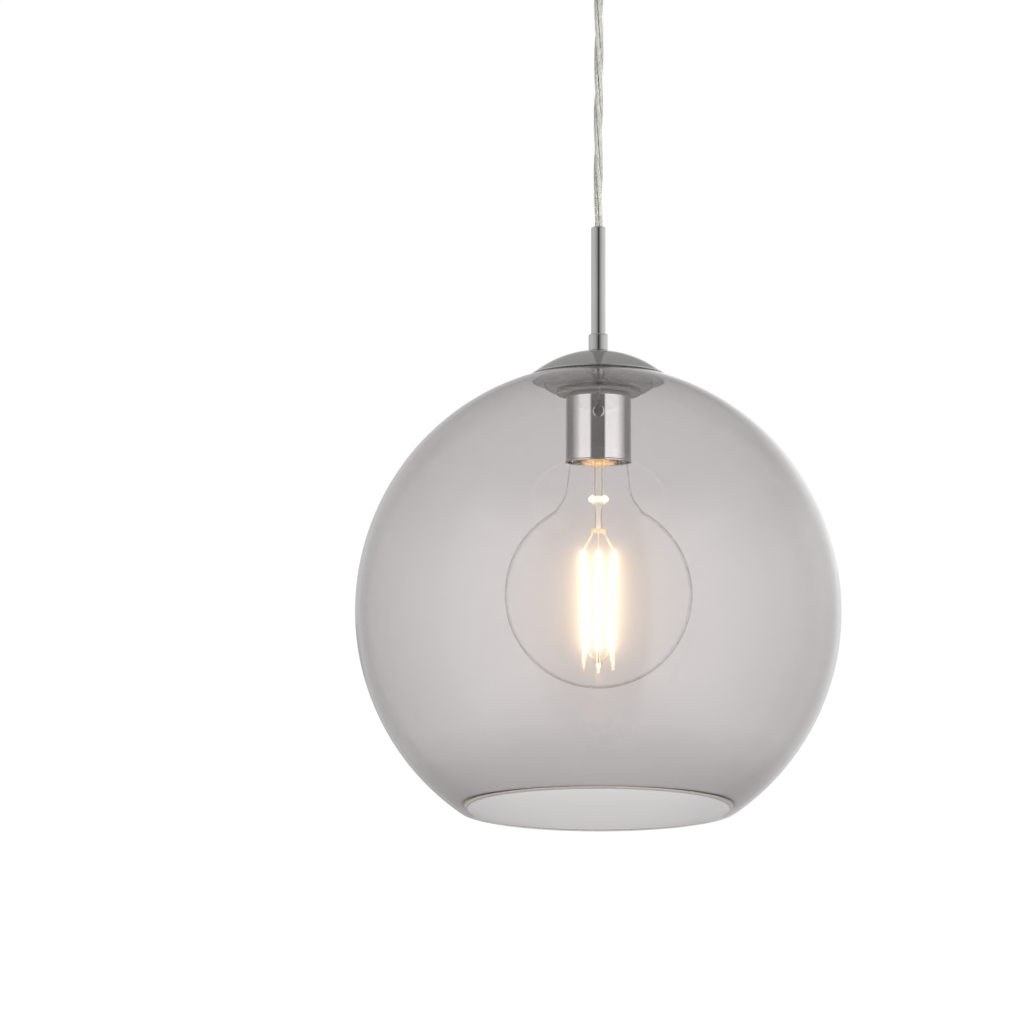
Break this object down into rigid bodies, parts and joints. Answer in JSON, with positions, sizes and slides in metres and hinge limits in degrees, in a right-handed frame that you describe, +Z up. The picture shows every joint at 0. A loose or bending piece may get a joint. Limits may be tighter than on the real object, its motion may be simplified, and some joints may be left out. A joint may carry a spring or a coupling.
{
  "type": "pendant ceiling light",
  "caption": "Pendant ceiling light: an open-bottomed clear glass globe under a shallow chrome cap and stem, hung on clear flex, with a screw-in filament lamp.",
  "frame": {"origin": "centre of the ceiling bracket's upper face, where it lies on the ceiling", "axes": "+Z up along the drop; +X along the bracket's line of fixing slots; -Y is the side with the lamp cup's screw"},
  "size_m": [0.3, 0.3, 0.5606],
  "materials": {
    "chrome": "polished chrome plate",
    "zinc_steel": "zinc-plated steel",
    "brass": "machined brass",
    "white_nylon": "moulded nylon",
    "clear_flex": "clear PVC sheath over tinned strands",
    "core_brown": "PVC insulation",
    "core_blue": "PVC insulation",
    "core_green": "PVC insulation",
    "globe_glass": "clear blown glass, faintly grey",
    "clear_silicone": "clear silicone washer",
    "porcelain": "glazed porcelain",
    "nickel_shell": "nickel-plated brass",
    "lamp_glass": "clear lamp glass",
    "lamp_wire": "bright nickel wire",
    "filament": "phosphor-coated LED filament, lit",
    "circuit_board": "circuit board",
    "black_glass": "black vitrite insulator",
    "solder": "soldered contact"
  },
  "bodies": {
    "rose": {"ceiling_bracket": "zinc_steel", "ceiling_rose": "chrome", "rose_screws": "chrome", "cord_grip_body": "chrome", "cord_grip_nut": "zinc_steel", "cord_grip_screw": "zinc_steel", "terminal_block": "white_nylon", "terminal_sleeves": "brass", "terminal_screws": "zinc_steel", "terminal_block_screw": "zinc_steel", "earth_lug": "brass", "earth_screw": "zinc_steel", "flex_top": "clear_flex", "upper_live_core": "core_brown", "upper_neutral_core": "core_blue", "upper_earth_core": "core_green"},
    "flex_bend": {"flex_bend": "clear_flex"},
    "flex": {"flex_drop": "clear_flex"},
    "pendant": {"stem_tube": "chrome", "stem_collar": "chrome", "cord_clamp_bush": "white_nylon", "threaded_nipple": "zinc_steel", "flex_tail": "clear_flex", "dome_cap": "chrome", "dome_nut": "zinc_steel", "glass_globe": "globe_glass", "lower_seal": "clear_silicone", "upper_seal": "clear_silicone", "clamp_washer": "zinc_steel", "clamp_nut": "zinc_steel", "lamp_cup": "chrome", "cup_screw": "chrome", "holder_bracket": "zinc_steel", "cup_nut": "zinc_steel", "holder_body": "porcelain", "holder_screws": "zinc_steel", "holder_shell": "nickel_shell", "holder_contact": "brass", "holder_terminals": "brass", "holder_terminal_screws": "zinc_steel", "lower_live_core": "core_brown", "lower_neutral_core": "core_blue", "lower_earth_core": "core_green"},
    "lamp": {"lamp_envelope": "lamp_glass", "lamp_mount": "lamp_glass", "lamp_crown": "lamp_wire", "filament_hangers": "lamp_wire", "filaments": "filament", "filament_tails": "lamp_wire", "lamp_foot": "lamp_glass", "driver_board": "circuit_board", "lamp_cap": "nickel_shell", "cap_insulator": "black_glass"},
    "lamp_slide": {"cap_eyelet": "solder"}
  },
  "joints": [
    {"name": "swing_side", "type": "hinge", "parent": "rose", "child": "flex_bend", "pos_m": [0, 0, -0.035], "axis": [0, 1, 0], "range_deg": [-20, 20]},
    {"name": "swing_front", "type": "hinge", "parent": "flex_bend", "child": "flex", "pos_m": [0, 0, -0.035], "axis": [1, 0, 0], "range_deg": [-20, 20]},
    {"name": "twist", "type": "hinge", "parent": "flex", "child": "pendant", "pos_m": [0, 0, -0.1974], "axis": [0, 0, 1], "range_deg": [-90, 90], "stiffness_Nm_per_rad": 0.003},
    {"name": "lamp_travel", "type": "slide", "parent": "pendant", "child": "lamp_slide", "axis": [0, 0, -1], "range_m": [0, 0.015]},
    {"name": "lamp_turn", "type": "hinge", "parent": "lamp_slide", "child": "lamp", "pos_m": [0, 0, -0.315], "axis": [0, 0, -1], "range_deg": [0, 1440]}
  ],
  "couplings": [
    {"joint": "lamp_travel", "follows": "lamp_turn", "m_per_rad": 0.00057757}
  ]
}
